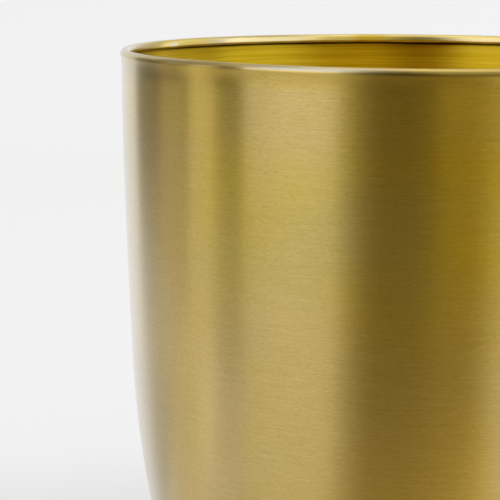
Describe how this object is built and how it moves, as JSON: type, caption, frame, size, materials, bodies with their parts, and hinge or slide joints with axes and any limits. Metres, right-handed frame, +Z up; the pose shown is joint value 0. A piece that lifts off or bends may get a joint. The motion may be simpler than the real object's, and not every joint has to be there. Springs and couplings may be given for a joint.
{
  "type": "cachepot",
  "caption": "Round brushed brass cachepot with a bowed wall, a rolled rim closed over a wire, a rounded heel and soft pads under a flat foot ring.",
  "frame": {"origin": "on the pot's axis, at the level of the pads' undersides, where the pot stands", "axes": "+Z up along the pot's axis; +X to the right and +Y away from a viewer in front; the pads lie midway between the axes"},
  "size_m": [0.25, 0.25, 0.24],
  "materials": {
    "brushed_brass": "brushed round the axis, clear satin",
    "wire_steel": "plain drawn wire",
    "pad_rubber": "matt soft rubber"
  },
  "bodies": {
    "root": {"pot_shell": "brushed_brass", "rim_wire": "wire_steel", "foot_pad_1": "pad_rubber", "foot_pad_2": "pad_rubber", "foot_pad_3": "pad_rubber", "foot_pad_4": "pad_rubber"}
  },
  "joints": []
}
